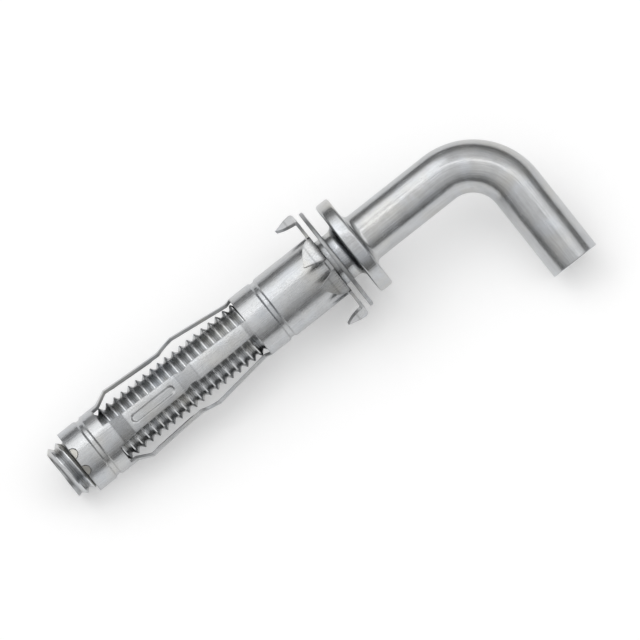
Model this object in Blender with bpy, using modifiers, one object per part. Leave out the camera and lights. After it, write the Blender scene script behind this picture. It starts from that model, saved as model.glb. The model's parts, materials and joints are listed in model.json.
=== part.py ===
"""Hollow wall anchor with a square hook screw, zinc plated steel.

The anchor is modelled standing on its axis: the flange's room face lies at z = 0, the screw's tip
points down, the hook points up and its leg runs towards -X. At the end the whole anchor is laid down
on the three points that it rests on, with its axis along +X and the centre of its footprint at the origin.
"""

import math

import bmesh
import bpy
from mathutils import Matrix, Vector

MM = 0.001

# Rolled thread of the hook screw.
PITCH = 1.5 * MM
THREAD_RADIUS = 4.85 * MM
THREAD_DEPTH = 0.8 * MM
CREST_WIDTH = 0.19 * MM
CREST_RISE = 0.52 * MM  # how far rolling raises the crests above the rod
ROD_RADIUS = THREAD_RADIUS - CREST_RISE

# Sheet metal sleeve, rolled round the nut. Distances along it are measured from the flange's room face.
SHEET = 0.55 * MM
NUT_WALL = 0.3 * MM  # over the thread
NUT_CLEARANCE = 0.05 * MM
SLEEVE_LENGTH = 52.0 * MM
SLEEVE_BORE = THREAD_RADIUS + NUT_WALL + NUT_CLEARANCE
SLEEVE_RADIUS = SLEEVE_BORE + SHEET
GROOVE_WIDTH = 1.2 * MM
GROOVE_DEPTH = 0.28 * MM
GROOVE_SLOPE = 0.3 * MM
END_GROOVE = 3.35 * MM  # from the sleeve's far end
FLANGE_GROOVE = 11.45 * MM  # from the flange

# Legs and the windows between them. A leg's bends are placed from the ends of its window.
LEGS = 4
WINDOW_NEAR = 16.6 * MM
WINDOW_FAR = SLEEVE_LENGTH - 6.8 * MM
ROOT_BEND = WINDOW_NEAR + 0.9 * MM
FOLD_KNEE = WINDOW_FAR - 17.2 * MM
WAIST = WINDOW_FAR - 14.0 * MM
FAR_KNEE = WINDOW_FAR - 3.5 * MM
TOE_BEND = WINDOW_FAR - 1.1 * MM
LEG_SHAPE = (  # distance, and how far the leg stands out of the sleeve
    (WINDOW_NEAR, 0.0),
    (ROOT_BEND, -0.24 * MM),
    (FOLD_KNEE, 1.1 * MM),
    (WAIST, 0.45 * MM),
    (FAR_KNEE, 1.1 * MM),
    (TOE_BEND, 0.0),
    (WINDOW_FAR, 0.0),
)
LEG_WIDTH = (  # distance, and the leg's width
    (WINDOW_NEAR, 2.5 * MM),
    (ROOT_BEND, 2.8 * MM),
    (FAR_KNEE, 3.95 * MM),
    (WINDOW_FAR, 4.6 * MM),
)
NICK_PLACE = (FOLD_KNEE + WAIST) / 2
NICK_LENGTH = 2.6 * MM
NICK_DEPTH = 0.38 * MM
BEAD_NEAR = WAIST + 1.2 * MM
BEAD_FAR = FAR_KNEE - 0.8 * MM
BEAD_WIDTH = 1.54 * MM
BEAD_DEPTH = 0.28 * MM
BEAD_SLOPE = 0.27 * MM

# Flange and its claws.
FLANGE_RADIUS = 10.4 * MM
FLANGE_BEND = 0.4 * MM
CLAW_ANGLE = math.radians(19.0)  # from the middle of its pair
CLAW_WIDTH = 4.5 * MM
CLAW_REACH = 3.2 * MM
CLAW_TIP_PLACE = 1.1 * MM  # along the fold, from the claw's straight edge
CLAW_TIP_WIDTH = 0.12 * MM
CLAW_BEND = 0.2 * MM
CLAW_CREASE = 1.2 * MM  # below the wall face: past it the claw leans in
CLAW_LEAN = 0.3 * MM

# Washer.
WASHER_GAP = 0.85 * MM  # from the flange
WASHER_THICKNESS = 0.7 * MM
WASHER_RADIUS = 9.45 * MM
WASHER_BORE_CLEARANCE = 0.1 * MM  # over the thread
WASHER_EDGE = 0.2 * MM

# Hook screw.
TIP_OVERHANG = 3.3 * MM  # past the sleeve's far end
TIP_CHAMFER = 0.75 * MM
THREAD_END = 14.5 * MM  # below the flange
COLLAR_GAP = WASHER_GAP + WASHER_THICKNESS + 2.05 * MM  # from the flange to the collar
COLLAR_THICKNESS = 2.5 * MM
COLLAR_RADIUS = 8.73 * MM
COLLAR_EDGE = 0.5 * MM
COLLAR_FILLET = 1.0 * MM
NECK_LENGTH = 16.25 * MM  # straight rod, from the collar to the bend
BEND_RADIUS = 9.05 * MM
LEG_REACH = 24.3 * MM  # from the screw's axis to the leg's end

# Nut, held in the sleeve's far end by lugs in notches.
NUT_GROOVE_GAP = 0.25 * MM
THREAD_PLAY = 0.1 * MM  # along the axis, on each flank
CREST_PLAY = 0.08 * MM
NUT_BORE_CUT = 0.25 * MM  # the nut's crests stop this far outside the screw's root
LUG_RADIUS = 0.9 * MM
LUG_CLEARANCE = 0.08 * MM
LUG_ANGLE = math.radians(17.5)  # to both sides of the front and of the back
LUG_RECESS = 0.1 * MM  # below the sleeve's skin and end

# Facets.
THREAD_SEGMENTS = 20  # to a turn
ROUND_SEGMENTS = 32
LEG_COLUMNS = 6  # across a leg
WINDOW_COLUMNS = 4
BLADE_ROWS = (0, 0.35, 0.7, 1)  # shares of a claw's blade
BEND_STEPS = 10
ARC_STEPS = 3
EDGE_STEPS = 2  # round the washer's edges
LUG_SEGMENTS = 12
MERGE = 0.001 * MM
SHARP_ANGLE = math.radians(35.0)
BLANK_MARGIN = 0.1 * MM  # of the blank that the thread is cut from

WALL_FACE = -SHEET
THREAD_ROOT = THREAD_RADIUS - THREAD_DEPTH
FLANK_SLOPE = THREAD_DEPTH / ((PITCH - CREST_WIDTH) / 2)
SCREW_TIP = -(SLEEVE_LENGTH + TIP_OVERHANG)
QUARTER = math.tau / LEGS  # a leg and the window beside it
QUARTER_COLUMNS = LEG_COLUMNS + WINDOW_COLUMNS


def polar(radius, angle, z):
    return Vector((radius * math.cos(angle), radius * math.sin(angle), z))


def along(table, place):
    """The value at a place of a table of (place, value) pairs, on straight lines between them."""
    if place <= table[0][0]:
        return table[0][1]
    for (start, low), (end, high) in zip(table, table[1:]):
        if place <= end:
            return low + (high - low) * (place - start) / (end - start)
    return table[-1][1]


def arc(centre, radius, start, end, steps=ARC_STEPS):
    """Points of an arc in the (radius, z) plane, from one angle to another."""
    angles = [start + (end - start) * k / steps for k in range(steps + 1)]
    return [(centre[0] + radius * math.cos(a), centre[1] + radius * math.sin(a)) for a in angles]


def steel(name, color, roughness):
    material = bpy.data.materials.new(name)
    material.use_nodes = True
    shader = material.node_tree.nodes["Principled BSDF"]
    shader.inputs["Base Color"].default_value = (*color, 1.0)
    shader.inputs["Metallic"].default_value = 1.0
    shader.inputs["Roughness"].default_value = roughness
    return material


def add_object(name, bm, collection, material=None):
    mesh = bpy.data.meshes.new(name)
    bm.to_mesh(mesh)
    bm.free()
    mesh.shade_smooth()
    mesh.set_sharp_from_angle(angle=SHARP_ANGLE)
    made = bpy.data.objects.new(name, mesh)
    collection.objects.link(made)
    if material:
        mesh.materials.append(material)
    return made


def add_cutter(name, bm, cutters):
    cutter = add_object(name, bm, cutters)
    cutter.hide_render = True
    cutter.display_type = "WIRE"
    return cutter


def add_boolean(target, cutter, operation):
    modifier = target.modifiers.new(f"{operation.lower()} {cutter.name}", "BOOLEAN")
    modifier.operation = operation
    modifier.solver = "EXACT"
    modifier.object = cutter


def add_profile(bm, points):
    """An open outline in the XZ plane, from (radius, z) points."""
    verts = [bm.verts.new((radius, 0.0, z)) for radius, z in points]
    edges = [bm.edges.new(pair) for pair in zip(verts, verts[1:])]
    return verts + edges


def turn(bm, outline, steps):
    bmesh.ops.spin(
        bm, geom=outline, cent=(0, 0, 0), axis=(0, 0, 1), angle=math.tau, steps=steps, use_merge=True
    )
    bmesh.ops.remove_doubles(bm, verts=bm.verts, dist=MERGE)


def turned(points, steps):
    """A closed turned body."""
    bm = bmesh.new()
    turn(bm, add_profile(bm, points), steps)
    bmesh.ops.recalc_face_normals(bm, faces=bm.faces)
    return bm


def add_grid(bm, columns, rows, place):
    """A grid of faces whose corners lie where place(column, row) says."""
    made = bmesh.ops.create_grid(bm, x_segments=columns, y_segments=rows, size=1.0)
    corners = {}
    for vert in made["verts"]:
        corners[vert] = (round((vert.co.x + 1) / 2 * columns), round((vert.co.y + 1) / 2 * rows))
    for vert, (column, row) in corners.items():
        vert.co = place(column, row)
    return corners


# Sleeve


def leg_half_width(distance):
    width = along(LEG_WIDTH, distance)
    reach = abs(distance - NICK_PLACE) / (NICK_LENGTH / 2)
    if reach < 1:
        width -= 2 * NICK_DEPTH * (1 - reach**2)
    return width / 2


def bead_depth(distance, offset):
    """How far the bead is pressed in at a point of a leg."""
    half = BEAD_WIDTH / 2
    beyond = max(BEAD_NEAR + half - distance, distance - BEAD_FAR + half, 0)
    inside = half - math.hypot(beyond, offset)
    return BEAD_DEPTH * min(max(inside / BEAD_SLOPE, 0), 1)


def groove_rows(near):
    """Distances and radii across one rolled groove."""
    far = near + GROOVE_WIDTH
    floor = SLEEVE_RADIUS - GROOVE_DEPTH
    return [
        (near, SLEEVE_RADIUS),
        (near + GROOVE_SLOPE, floor),
        (far - GROOVE_SLOPE, floor),
        (far, SLEEVE_RADIUS),
    ]


def leg_distances():
    nick = [NICK_PLACE + NICK_LENGTH / 2 * share for share in (-1, -0.6, 0, 0.6, 1)]
    half = BEAD_WIDTH / 2
    ends = (0, BEAD_SLOPE, 0.65 * half, half)
    bead = [BEAD_NEAR + step for step in ends] + [BEAD_FAR - step for step in ends]
    return sorted({place for place, _ in LEG_SHAPE} | set(nick) | set(bead))


def ring_angles(leg_angles):
    """The angles round one ring: seven across each leg, and the window columns between legs."""
    edge = leg_angles[-1]
    step = (QUARTER - 2 * edge) / WINDOW_COLUMNS
    quarter = list(leg_angles) + [edge + step * k for k in range(1, WINDOW_COLUMNS)]
    return [QUARTER * leg + angle for leg in range(LEGS) for angle in quarter]


def sleeve_ring(distance, radius):
    """One ring of the sleeve's skin, with the bead pressed into it where it has one."""
    half = leg_half_width(distance)
    bead = BEAD_WIDTH / 2
    offsets = (-half, -bead, BEAD_SLOPE - bead, 0, bead - BEAD_SLOPE, bead, half)
    depths = [bead_depth(distance, offset) for offset in offsets] + [0.0] * (WINDOW_COLUMNS - 1)
    angles = ring_angles([math.asin(offset / radius) for offset in offsets])
    return [
        polar(radius - depths[k % len(depths)], angle, -distance) for k, angle in enumerate(angles)
    ]


def claw_frame():
    """The claws' plane: its distance from the axis, the fold's distance and its ends' half angle."""
    plane = math.sqrt(FLANGE_RADIUS**2 - (CLAW_WIDTH / 2) ** 2) - SHEET
    fold = plane - CLAW_BEND
    return plane, fold, math.atan(CLAW_WIDTH / 2 / fold)


def flange_ring(radius, fold=None):
    """One ring on the flange's wall face. On the fold ring each claw's base lies on a chord."""
    _, _, spread = claw_frame()
    inner, outer = CLAW_ANGLE - spread, CLAW_ANGLE + spread
    angles = ring_angles((-outer, -CLAW_ANGLE, -inner, 0, inner, CLAW_ANGLE, outer))
    ring = []
    for k, angle in enumerate(angles):
        middle = fold is not None and k % QUARTER_COLUMNS in (1, LEG_COLUMNS - 1)
        ring.append(polar(fold if middle else radius, angle, WALL_FACE))
    return ring


def add_claw(bm, middle, side):
    """One claw, folded off the flange's rim towards the wall. side is 1 or -1 within its pair."""
    plane, fold, _ = claw_frame()
    angle = middle + side * CLAW_ANGLE
    outward = Vector((math.cos(angle), math.sin(angle), 0))
    sideways = Vector((-math.sin(angle), math.cos(angle), 0)) * side
    half = CLAW_WIDTH / 2
    tip = CLAW_TIP_PLACE - half
    halfway = math.pi / 4
    rows = [
        (fold, 0.0),
        (fold + CLAW_BEND * math.sin(halfway), CLAW_BEND * (1 - math.cos(halfway))),
        (plane, CLAW_BEND),
    ]
    blade = CLAW_REACH - CLAW_CREASE
    rows += [(plane - CLAW_LEAN * share, CLAW_CREASE + blade * share) for share in BLADE_ROWS]

    def place(column, row):
        distance, depth = rows[row]
        share = depth / CLAW_REACH
        straight = (1 - share) * -half + share * tip
        curved = tip + (half - tip) * (1 - share**2)
        curved = max(curved, straight + CLAW_TIP_WIDTH)
        across = straight + (curved - straight) * column / 2
        return outward * distance + sideways * across + Vector((0, 0, WALL_FACE - depth))

    add_grid(bm, 2, len(rows) - 1, place)


def sleeve_skin():
    """The sheet's outer skin: sleeve, legs, wall face of the flange and inner faces of the claws."""
    rings = [sleeve_ring(SLEEVE_LENGTH, SLEEVE_RADIUS)]
    far_groove = groove_rows(SLEEVE_LENGTH - END_GROOVE - GROOVE_WIDTH)
    rings += [sleeve_ring(*row) for row in reversed(far_groove)]
    first_leg_row = len(rings)
    distances = leg_distances()[::-1]
    rings += [sleeve_ring(d, SLEEVE_RADIUS + along(LEG_SHAPE, d)) for d in distances]
    last_leg_row = len(rings) - 1
    rings += [sleeve_ring(*row) for row in reversed(groove_rows(FLANGE_GROOVE))]

    corner = (SLEEVE_RADIUS + FLANGE_BEND, WALL_FACE - FLANGE_BEND)
    bend = arc(corner, FLANGE_BEND, math.pi, math.pi / 2)
    rings += [sleeve_ring(-z, radius) for radius, z in bend[:-1]]
    _, fold, spread = claw_frame()
    rings += [flange_ring(corner[0])]
    rings += [flange_ring(fold / math.cos(spread), fold)]
    rings += [flange_ring(FLANGE_RADIUS)]

    bm = bmesh.new()
    columns, rows = len(rings[0]), len(rings) - 1
    corners = add_grid(bm, columns, rows, lambda column, row: rings[row][column % columns])
    open_faces = []
    for face in bm.faces:
        column = min(corners[vert][0] for vert in face.verts) % QUARTER_COLUMNS
        row = min(corners[vert][1] for vert in face.verts)
        window = first_leg_row <= row < last_leg_row and column >= LEG_COLUMNS
        claw_pair = row == rows - 1 and column < LEG_COLUMNS
        if window or claw_pair:
            open_faces.append(face)
    bmesh.ops.delete(bm, geom=open_faces, context="FACES")
    for leg in range(LEGS):
        for side in (-1, 1):
            add_claw(bm, leg * QUARTER, side)
    bmesh.ops.remove_doubles(bm, verts=bm.verts, dist=MERGE)
    bmesh.ops.recalc_face_normals(bm, faces=bm.faces)
    end_face = min(bm.faces, key=lambda face: face.calc_center_median().z)
    middle = end_face.calc_center_median()
    if end_face.normal.dot(Vector((middle.x, middle.y, 0))) < 0:
        bmesh.ops.reverse_faces(bm, faces=bm.faces)
    return bm


def lug_angles():
    return [math.pi / 2 * side + shift for side in (1, -1) for shift in (-LUG_ANGLE, LUG_ANGLE)]


def add_lugs(bm, radius, inner, outer, z):
    """Short round pegs that stand radially, one for each lug."""
    for angle in lug_angles():
        turn_out = Matrix.Rotation(angle, 4, "Z") @ Matrix.Rotation(math.pi / 2, 4, "Y")
        shift = Matrix.Translation(polar((inner + outer) / 2, angle, z))
        bmesh.ops.create_cone(
            bm,
            cap_ends=True,
            segments=LUG_SEGMENTS,
            radius1=radius,
            radius2=radius,
            depth=outer - inner,
            matrix=shift @ turn_out,
        )


def make_sleeve(parts, cutters):
    sleeve = add_object("sleeve", sleeve_skin(), parts, steel("sleeve_zinc", (0.62, 0.63, 0.64), 0.35))
    wall = sleeve.modifiers.new("sheet", "SOLIDIFY")
    wall.thickness = SHEET
    wall.offset = -1.0
    wall.use_even_offset = True
    notches = bmesh.new()
    add_lugs(notches, LUG_RADIUS + LUG_CLEARANCE, SLEEVE_BORE - SHEET, SLEEVE_RADIUS + SHEET, -SLEEVE_LENGTH)
    add_boolean(sleeve, add_cutter("lug_notches", notches, cutters), "DIFFERENCE")
    return sleeve


# Thread


def threaded_bar(crest, root, bottom, top):
    """A closed bar with a right-hand thread, at least a pitch longer than asked at both ends."""
    start = SCREW_TIP + PITCH * (math.floor((bottom - SCREW_TIP) / PITCH) - 2)
    turns = math.ceil((top - start) / PITCH) + 1
    flank = (crest - root) / FLANK_SLOPE
    outline = [
        (root, start),
        (crest, start + flank),
        (crest, start + PITCH - flank),
        (root, start + PITCH),
    ]
    bm = bmesh.new()
    bmesh.ops.spin(
        bm,
        geom=add_profile(bm, outline),
        cent=(0, 0, 0),
        axis=(0, 0, 1),
        dvec=(0, 0, PITCH / THREAD_SEGMENTS),
        angle=math.tau * turns,
        steps=THREAD_SEGMENTS * turns,
    )
    bmesh.ops.remove_doubles(bm, verts=bm.verts, dist=MERGE)
    middle = start + PITCH * (turns + 1) / 2
    rim = [edge for edge in bm.edges if edge.is_boundary]
    for low in (True, False):
        loop = [edge for edge in rim if (edge.verts[0].co.z < middle) == low]
        made = bmesh.ops.extrude_edge_only(bm, edges=loop)["geom"]
        tips = [item for item in made if isinstance(item, bmesh.types.BMVert)]
        height = start if low else start + PITCH * (turns + 1)
        bmesh.ops.pointmerge(bm, verts=tips, merge_co=(0, 0, height))
    bmesh.ops.recalc_face_normals(bm, faces=bm.faces)
    return bm


# Hook


def make_hook(parts, cutters):
    """The screw, collar and rod turned as one, the rod bent by spinning its end and then drawn out."""
    thread_top = -THREAD_END
    shank_bottom = thread_top - TIP_CHAMFER
    collar_low, collar_high = COLLAR_GAP, COLLAR_GAP + COLLAR_THICKNESS
    bend_start = collar_high + NECK_LENGTH
    fillet = ROD_RADIUS + COLLAR_FILLET
    edge = COLLAR_RADIUS - COLLAR_EDGE
    outline = [(0, shank_bottom), (ROD_RADIUS, shank_bottom)]
    outline += arc((fillet, collar_low - COLLAR_FILLET), COLLAR_FILLET, math.pi, math.pi / 2)
    outline += arc((edge, collar_low + COLLAR_EDGE), COLLAR_EDGE, -math.pi / 2, 0)
    outline += arc((edge, collar_high - COLLAR_EDGE), COLLAR_EDGE, 0, math.pi / 2)
    outline += arc((fillet, collar_high + COLLAR_FILLET), COLLAR_FILLET, 1.5 * math.pi, math.pi)
    outline += [(ROD_RADIUS, bend_start)]
    bm = bmesh.new()
    turn(bm, add_profile(bm, outline), ROUND_SEGMENTS)
    end = [item for item in bm.edges if item.is_boundary]
    end += list({vert for item in end for vert in item.verts})
    bent = bmesh.ops.spin(
        bm,
        geom=end,
        cent=(-BEND_RADIUS, 0, bend_start),
        axis=(0, 1, 0),
        angle=-math.pi / 2,
        steps=BEND_STEPS,
    )["geom_last"]
    drawn = bmesh.ops.extrude_edge_only(
        bm, edges=[item for item in bent if isinstance(item, bmesh.types.BMEdge)]
    )["geom"]
    leg_end = [item for item in drawn if isinstance(item, bmesh.types.BMVert)]
    bmesh.ops.translate(bm, verts=leg_end, vec=(BEND_RADIUS - LEG_REACH, 0, 0))
    bmesh.ops.contextual_create(bm, geom=[item for item in bm.edges if item.is_boundary])
    bmesh.ops.remove_doubles(bm, verts=bm.verts, dist=MERGE)
    bmesh.ops.recalc_face_normals(bm, faces=bm.faces)
    hook = add_object("hook", bm, parts, steel("hook_zinc", (0.66, 0.67, 0.68), 0.28))

    bar = threaded_bar(THREAD_RADIUS, THREAD_ROOT, SCREW_TIP, thread_top)
    thread = add_cutter("hook_thread", bar, cutters)
    blank_radius = THREAD_RADIUS + BLANK_MARGIN
    blank_outline = [
        (0, SCREW_TIP),
        (blank_radius - TIP_CHAMFER, SCREW_TIP),
        (blank_radius, SCREW_TIP + TIP_CHAMFER),
        (blank_radius, thread_top - TIP_CHAMFER),
        (blank_radius - TIP_CHAMFER, thread_top),
        (0, thread_top),
    ]
    blank = add_cutter("thread_blank", turned(blank_outline, ROUND_SEGMENTS), cutters)
    add_boolean(thread, blank, "INTERSECT")
    add_boolean(hook, thread, "UNION")
    return hook


# Nut and washer


def make_nut(parts, cutters):
    bottom = -SLEEVE_LENGTH
    top = bottom + END_GROOVE - NUT_GROOVE_GAP
    outer = THREAD_RADIUS + NUT_WALL
    bore = THREAD_ROOT + NUT_BORE_CUT
    outline = [(bore, bottom), (outer, bottom), (outer, top), (bore, top), (bore, bottom)]
    nut = add_object("nut", turned(outline, ROUND_SEGMENTS), parts, steel("nut_zinc", (0.6, 0.6, 0.58), 0.4))

    lugs = bmesh.new()
    crest = THREAD_RADIUS + CREST_PLAY
    add_lugs(lugs, LUG_RADIUS, (crest + outer) / 2, SLEEVE_RADIUS - LUG_RECESS, bottom)
    everything = lugs.verts[:] + lugs.edges[:] + lugs.faces[:]
    cut = bmesh.ops.bisect_plane(
        lugs,
        geom=everything,
        plane_co=(0, 0, bottom + LUG_RECESS),
        plane_no=(0, 0, -1),
        clear_outer=True,
    )["geom_cut"]
    bmesh.ops.edgenet_fill(lugs, edges=[item for item in cut if isinstance(item, bmesh.types.BMEdge)])
    bmesh.ops.recalc_face_normals(lugs, faces=lugs.faces)
    add_boolean(nut, add_cutter("nut_lugs", lugs, cutters), "UNION")

    root = THREAD_ROOT + FLANK_SLOPE * THREAD_PLAY
    bar = threaded_bar(crest, root, bottom, top)
    bmesh.ops.triangulate(bar, faces=bar.faces)  # the twisted flanks are cut as flat triangles
    tap = add_cutter("nut_tap", bar, cutters)
    add_boolean(nut, tap, "DIFFERENCE")
    return nut


def make_washer(parts):
    low, high = WASHER_GAP, WASHER_GAP + WASHER_THICKNESS
    bore = THREAD_RADIUS + WASHER_BORE_CLEARANCE
    edge = WASHER_RADIUS - WASHER_EDGE
    outline = [(bore, low)]
    outline += arc((edge, low + WASHER_EDGE), WASHER_EDGE, -math.pi / 2, 0, EDGE_STEPS)
    outline += arc((edge, high - WASHER_EDGE), WASHER_EDGE, 0, math.pi / 2, EDGE_STEPS)
    outline += [(bore, high), (bore, low)]
    bm = turned(outline, ROUND_SEGMENTS)
    return add_object("washer", bm, parts, steel("washer_zinc", (0.64, 0.65, 0.65), 0.32))


# Rest


def world_mesh(part):
    """A part's finished mesh, as triangles."""
    graph = bpy.context.evaluated_depsgraph_get()
    bm = bmesh.new()
    bm.from_object(part, graph)
    bmesh.ops.triangulate(bm, faces=bm.faces)
    return bm


def balance(parts):
    """All corners of the parts, and their centre of mass."""
    corners, moment, volume = [], Vector(), 0.0
    for part in parts:
        bm = world_mesh(part)
        corners += [vert.co.copy() for vert in bm.verts]
        for face in bm.faces:
            a, b, c = (vert.co for vert in face.verts)
            share = a.dot(b.cross(c)) / 6
            volume += share
            moment += share * (a + b + c) / 4
        bm.free()
    return corners, moment / volume


def carries(face, point):
    """Whether a point lies over a triangle, seen along the triangle's normal."""
    corners = [vert.co for vert in face.verts]
    for a, b in zip(corners, corners[1:] + corners[:1]):
        if (b - a).cross(point - a).dot(face.normal) < 0:
            return False
    return True


def laid_down(parts):
    """The transform that lays the parts on the hull face that carries their centre of mass."""
    corners, centre = balance(parts)
    hull = bmesh.new()
    for corner in corners:
        hull.verts.new(corner)
    bmesh.ops.convex_hull(hull, input=hull.verts)
    bmesh.ops.recalc_face_normals(hull, faces=hull.faces)
    feet = [face for face in hull.faces if carries(face, centre)]
    up = -max(feet, key=lambda face: -face.normal.y).normal
    hull_corners = [vert.co.copy() for vert in hull.verts]
    axis = Vector((0, 0, 1))
    forward = (axis - up * axis.dot(up)).normalized()
    turn_over = Matrix((forward, up.cross(forward), up)).to_4x4()
    hull.free()
    laid = [turn_over @ corner for corner in hull_corners]
    low = Vector([min(point[k] for point in laid) for k in range(3)])
    high = Vector([max(point[k] for point in laid) for k in range(3)])
    foot = Vector(((low.x + high.x) / 2, (low.y + high.y) / 2, low.z))
    return Matrix.Translation(-foot) @ turn_over


def build():
    for item in list(bpy.data.objects):
        bpy.data.objects.remove(item, do_unlink=True)
    parts = bpy.data.collections.new("hollow_wall_anchor")
    cutters = bpy.data.collections.new("cutters")
    bpy.context.scene.collection.children.link(parts)
    bpy.context.scene.collection.children.link(cutters)
    pieces = [
        make_sleeve(parts, cutters),
        make_nut(parts, cutters),
        make_washer(parts),
        make_hook(parts, cutters),
    ]
    rest = laid_down(pieces)
    axis = bpy.data.objects.new("anchor_axis", None)
    parts.objects.link(axis)
    axis.matrix_world = rest
    for item in pieces + list(cutters.objects):
        item.parent = axis
    bpy.context.view_layer.update()


build()
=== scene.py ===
# %% [markdown]
# # A hollow wall anchor with a square hook
# A line drawing shows this anchor, and here it is dressed as the real thing: pressed and rolled steel,
# plated with bright zinc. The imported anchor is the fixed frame. Each of its four pieces is modelled again
# in the same place with a finer surface, then gets its own finish.

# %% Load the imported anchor
import json
import math

import bmesh
import bpy
from mathutils import Matrix, Vector


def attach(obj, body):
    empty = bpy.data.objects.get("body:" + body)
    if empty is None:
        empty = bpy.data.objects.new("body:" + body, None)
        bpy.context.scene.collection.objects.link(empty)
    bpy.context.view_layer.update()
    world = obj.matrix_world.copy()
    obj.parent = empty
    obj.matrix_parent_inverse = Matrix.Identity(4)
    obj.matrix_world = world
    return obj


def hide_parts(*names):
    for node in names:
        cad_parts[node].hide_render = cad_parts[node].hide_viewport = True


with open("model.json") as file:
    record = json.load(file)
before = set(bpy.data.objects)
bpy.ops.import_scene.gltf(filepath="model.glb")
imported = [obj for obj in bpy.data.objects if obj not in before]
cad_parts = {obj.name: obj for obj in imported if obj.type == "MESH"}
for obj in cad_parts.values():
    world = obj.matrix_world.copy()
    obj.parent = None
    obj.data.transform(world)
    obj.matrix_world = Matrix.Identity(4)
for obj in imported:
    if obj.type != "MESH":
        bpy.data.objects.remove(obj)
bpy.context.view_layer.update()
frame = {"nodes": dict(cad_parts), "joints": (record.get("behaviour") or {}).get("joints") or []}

MM = 0.001
print("nodes:", sorted(frame["nodes"]))

# %% [markdown]
# ## The anchor's own axes
# The anchor lies tilted on the floor, so its pieces are easier to model upright and laid down afterwards.
# Upright, the screw's axis is Z, the flange's room face is at height 0 and the hook's leg points to -X.
# The frame tells all of it: the joint that turns the hook gives the axis, and the corners of the hook that
# lie farthest from that axis are the end of its leg.

# %% Find the anchor's axes in the frame
WASHER_GAP = 0.85 * MM  # from the flange's room face
LEG_REACH = 24.3 * MM  # from the axis to the leg's end
LEG_END = 0.9 * LEG_REACH  # corners beyond this one belong to the leg's end

turning = next(joint for joint in frame["joints"] if joint["name"] == "hook_turn")
axis = Vector(turning["axis"]).normalized()
pivot = Vector(turning["pos_m"])
corners = {tuple(round(c, 7) for c in vert.co) for vert in frame["nodes"]["hook"].data.vertices}
reaches = [Vector(c) - pivot for c in corners]
reaches = [reach - axis * reach.dot(axis) for reach in reaches]
leg_way = sum((reach for reach in reaches if reach.length > LEG_END), Vector()).normalized()
across = axis.cross(-leg_way)
laid = Matrix((-leg_way, across, axis)).transposed().to_4x4()
laid.translation = pivot - axis * WASHER_GAP
print("the axis rises", round(math.degrees(math.asin(axis.z)), 2), "degrees from the floor")

# %% [markdown]
# ## Profiles
# Nearly every edge of this anchor was turned, rolled or pressed, so no corner is dead sharp. A profile is
# written as its corners, each with the radius of its rounding, and one helper puts an arc in each corner.
# A radius of 0 leaves a corner as it is. A Bevel modifier could round the finished mesh instead, but it
# can't give each corner its own radius as easily.

# %% Round the corners of a profile
def rounded(outline, steps=3):
    """(across, along, radius) corners to (across, along) points, with an arc at each rounded corner."""
    points = []
    for k, (x, y, radius) in enumerate(outline):
        corner = Vector((x, y))
        if radius == 0:
            points.append(corner)
            continue
        back = (Vector(outline[k - 1][:2]) - corner).normalized()
        ahead = (Vector(outline[(k + 1) % len(outline)][:2]) - corner).normalized()
        half = back.angle(ahead) / 2
        centre = corner + (back + ahead).normalized() * (radius / math.sin(half))
        start = corner + back * (radius / math.tan(half)) - centre
        swing = start.angle_signed(corner + ahead * (radius / math.tan(half)) - centre)
        for step in range(steps + 1):
            spoke = start.copy()
            spoke.rotate(Matrix.Rotation(-swing * step / steps, 2))
            points.append(centre + spoke)
    return [(point.x, point.y) for point in points]


def add_wire(bm, points):
    """The points as one line of edges in the XZ plane."""
    verts = [bm.verts.new((x, 0.0, z)) for x, z in points]
    edges = [bm.edges.new(pair) for pair in zip(verts, verts[1:])]
    return verts + edges


print("a rounded square corner:", len(rounded([(0, 0, 0), (1, 0, 0.2), (1, 1, 0)])), "points")

# %% [markdown]
# ## Finishing a piece
# Every piece ends the same way: its doubles are merged, its faces turned outwards, and it is laid down in
# the frame's place. The object itself stays at the origin, so that a finish can read its coordinates. It
# then rides on its body and takes the place of its plain solid. Faces that meet at a flat angle are shaded
# as one smooth surface, and a sharper edge stays an edge.

# %% Lay a finished piece in the frame
MERGE = 0.001 * MM
SMOOTH_ANGLE = math.radians(32)


def place_piece(name, bm, node, body, finish):
    """The mesh, laid down as an object that rides on its body and stands for its node."""
    bmesh.ops.transform(bm, matrix=laid, verts=bm.verts)
    mesh = bpy.data.meshes.new(name)
    bm.to_mesh(mesh)
    bm.free()
    mesh.shade_smooth()
    mesh.set_sharp_from_angle(angle=SMOOTH_ANGLE)
    mesh.materials.append(finish)
    piece = bpy.data.objects.new(name, mesh)
    bpy.context.scene.collection.objects.link(piece)
    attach(piece, body)
    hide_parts(node)
    mesh.calc_loop_triangles()
    print(f"{name}: {len(mesh.loop_triangles)} triangles, rides on {body}")
    return piece


def tidy_skin(bm):
    """Merges the doubles, then turns the faces outwards."""
    bmesh.ops.remove_doubles(bm, verts=bm.verts, dist=MERGE)
    bmesh.ops.recalc_face_normals(bm, faces=bm.faces)


print("corners within", MERGE / MM, "mm become one")

# %% [markdown]
# ## Sums between sockets
# A finish is arithmetic on patterns: a grain plus a mottling, times a mask. Written node by node, the sum
# gets lost, so a small class wraps a socket and lets Python's own signs add the Math nodes. Every other
# node comes from one method, which takes the node's type, its settings and its inputs.

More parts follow.
